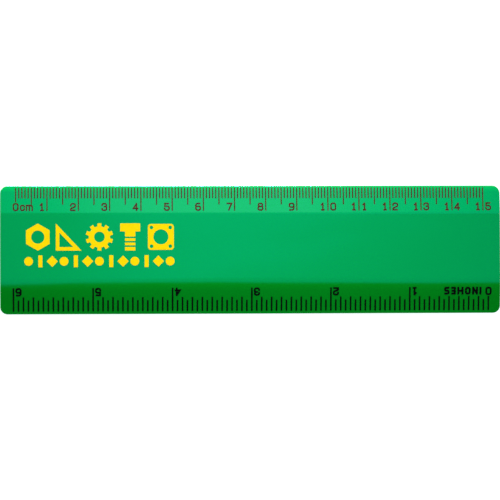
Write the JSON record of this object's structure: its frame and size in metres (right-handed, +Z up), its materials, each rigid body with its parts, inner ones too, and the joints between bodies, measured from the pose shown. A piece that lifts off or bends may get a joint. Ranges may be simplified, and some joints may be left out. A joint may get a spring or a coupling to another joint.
{
  "type": "ruler",
  "caption": "Short flat plastic desk ruler, bevelled along both long edges, with a centimetre scale on one bevel, an inch scale on the other and a plain printed emblem.",
  "frame": {"origin": "middle of the flat underside, centred on the ruler's length and width", "axes": "+X along the ruler from the centimetre zero to the 15, +Y across it towards the centimetre edge, +Z up out of the printed face"},
  "size_m": [0.1606, 0.041, 0.0023],
  "materials": {
    "ruler_plastic": "glossy moulded green polystyrene, coloured right through",
    "centimetre_ink": "satin dark brown pad-print ink",
    "inch_ink": "satin black pad-print ink",
    "emblem_ink": "satin opaque yellow pad-print ink"
  },
  "bodies": {
    "root": {"ruler_body": "ruler_plastic", "centimetre_lines": "centimetre_ink", "half_centimetre_lines": "centimetre_ink", "millimetre_lines": "centimetre_ink", "centimetre_label": "centimetre_ink", "metric_numeral_00": "centimetre_ink", "metric_numeral_01": "centimetre_ink", "metric_numeral_02": "centimetre_ink", "metric_numeral_03": "centimetre_ink", "metric_numeral_04": "centimetre_ink", "metric_numeral_05": "centimetre_ink", "metric_numeral_06": "centimetre_ink", "metric_numeral_07": "centimetre_ink", "metric_numeral_08": "centimetre_ink", "metric_numeral_09": "centimetre_ink", "metric_numeral_10": "centimetre_ink", "metric_numeral_11": "centimetre_ink", "metric_numeral_12": "centimetre_ink", "metric_numeral_13": "centimetre_ink", "metric_numeral_14": "centimetre_ink", "metric_numeral_15": "centimetre_ink", "inch_lines": "inch_ink", "eighth_inch_lines": "inch_ink", "sixteenth_inch_lines": "inch_ink", "inches_label": "inch_ink", "inch_numeral_0": "inch_ink", "inch_numeral_1": "inch_ink", "inch_numeral_2": "inch_ink", "inch_numeral_3": "inch_ink", "inch_numeral_4": "inch_ink", "inch_numeral_5": "inch_ink", "inch_numeral_6": "inch_ink", "emblem_nut": "emblem_ink", "emblem_set_square": "emblem_ink", "emblem_cog": "emblem_ink", "emblem_bolt": "emblem_ink", "emblem_plate": "emblem_ink", "emblem_dots": "emblem_ink", "emblem_bars": "emblem_ink", "emblem_diamonds": "emblem_ink"}
  },
  "joints": []
}
